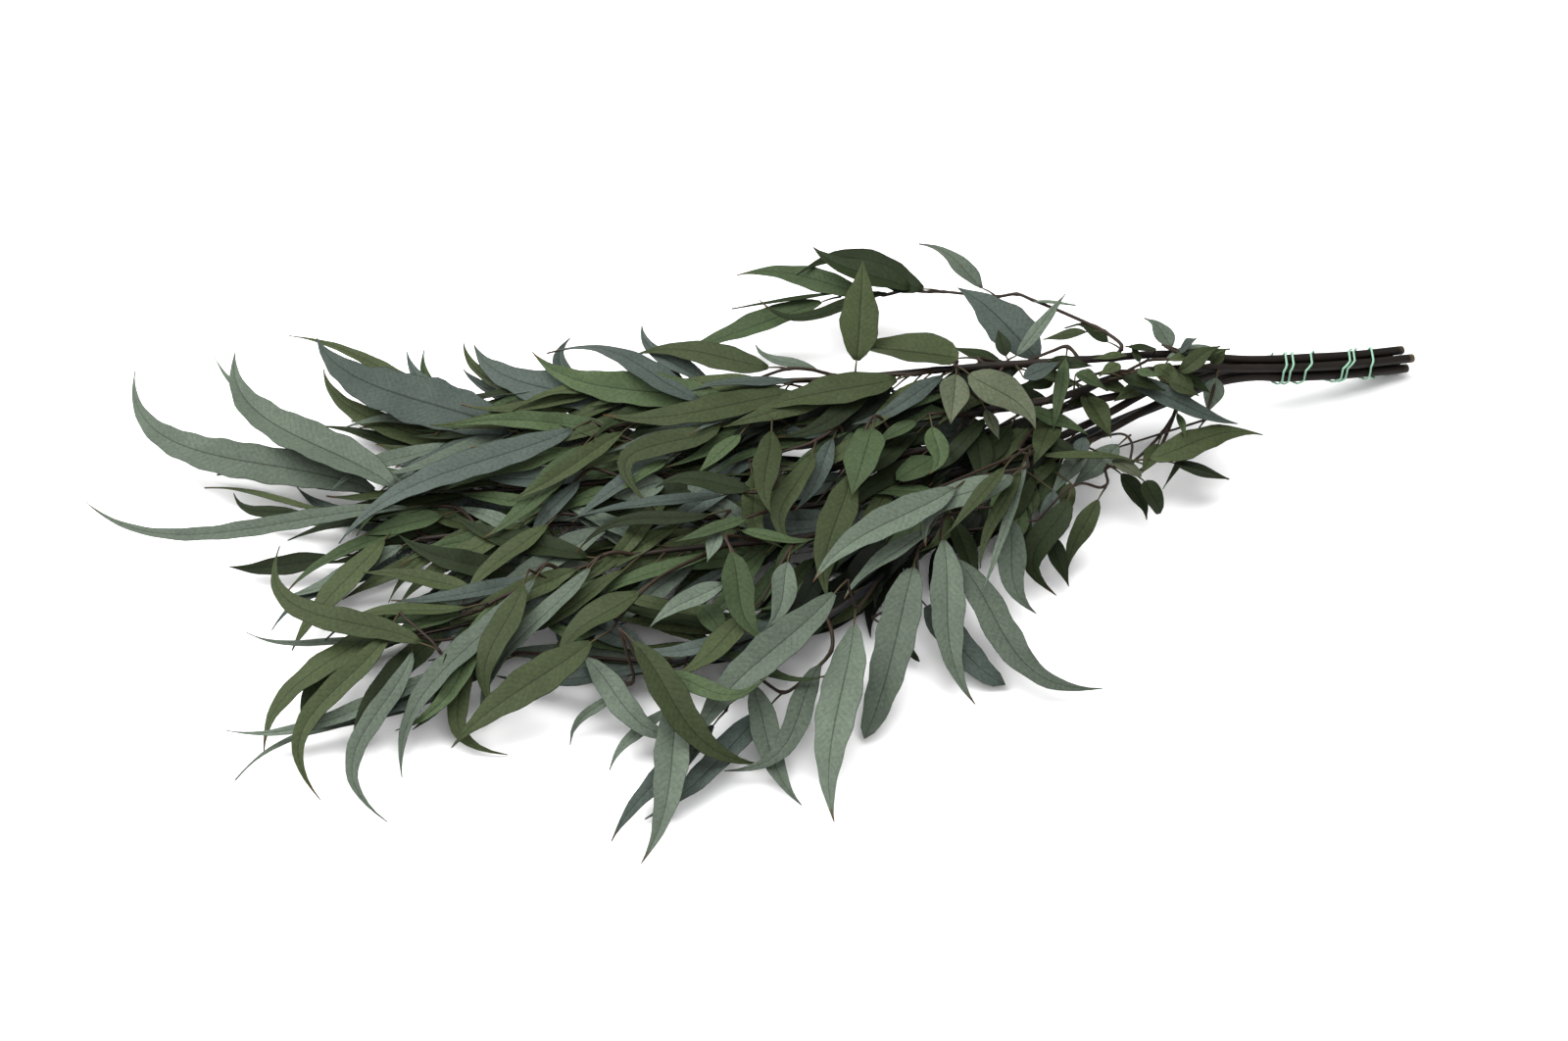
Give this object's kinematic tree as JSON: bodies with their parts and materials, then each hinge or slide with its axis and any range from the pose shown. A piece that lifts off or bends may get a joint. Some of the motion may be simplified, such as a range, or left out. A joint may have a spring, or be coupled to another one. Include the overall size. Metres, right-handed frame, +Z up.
{
  "type": "eucalyptus branch",
  "caption": "Bunch of preserved willow eucalyptus branches lying down, with long sickle-shaped leaves fanning from bare stems tied with string.",
  "frame": {"origin": "centre of the bounding box in X and Y, at the surface the bunch lies on", "axes": "+X along the bunch towards the cut stem ends, +Y away from the viewer across the bunch, +Z up from the surface"},
  "size_m": [0.7868, 0.4406, 0.0844],
  "materials": {
    "bark": "matt dark brown bark",
    "leaf_dark": "satin, dark green leaf",
    "leaf_fern": "satin, mid-green leaf",
    "leaf_olive": "satin, olive-green leaf",
    "leaf_pale": "satin, pale sage leaf",
    "leaf_sage": "satin, grey-green leaf",
    "leaf_slate": "satin, blue-grey leaf",
    "string": "matt mint-green string"
  },
  "bodies": {
    "root": {"shoot_01": "leaf_sage", "shoot_02": "leaf_fern", "shoot_03": "leaf_olive", "shoot_04": "leaf_olive", "shoot_05": "leaf_slate", "shoot_06": "leaf_fern", "shoot_07": "leaf_fern", "shoot_08": "leaf_slate", "shoot_09": "leaf_fern", "shoot_10": "leaf_olive", "shoot_11": "leaf_sage", "shoot_12": "leaf_olive", "shoot_13": "leaf_olive", "shoot_14": "leaf_olive", "shoot_15": "leaf_olive", "shoot_16": "leaf_olive", "shoot_17": "leaf_slate", "shoot_18": "leaf_dark", "shoot_19": "leaf_fern", "shoot_20": "leaf_fern", "shoot_21": "leaf_fern", "shoot_22": "leaf_dark", "shoot_23": "leaf_fern", "shoot_24": "leaf_olive", "shoot_25": "leaf_olive", "shoot_26": "leaf_olive", "shoot_27": "leaf_sage", "shoot_28": "leaf_sage", "shoot_29": "leaf_slate", "shoot_30": "leaf_olive", "shoot_31": "leaf_fern", "shoot_32": "leaf_fern", "shoot_33": "leaf_sage", "shoot_34": "leaf_sage", "shoot_35": "leaf_sage", "shoot_36": "leaf_sage", "shoot_37": "leaf_sage", "shoot_38": "leaf_olive", "shoot_39": "leaf_dark", "shoot_40": "leaf_sage", "shoot_41": "leaf_fern", "shoot_42": "leaf_dark", "shoot_43": "leaf_olive", "shoot_44": "leaf_sage", "shoot_45": "leaf_slate", "shoot_46": "leaf_slate", "shoot_47": "leaf_olive", "shoot_48": "leaf_fern", "shoot_49": "leaf_dark", "shoot_50": "leaf_slate", "shoot_51": "leaf_olive", "shoot_52": "leaf_pale", "stem_back": "bark", "stem_front": "bark", "stem_lower": "bark", "stem_middle": "bark", "stem_near": "bark", "stem_upper": "bark", "tie_string": "string"}
  },
  "joints": []
}
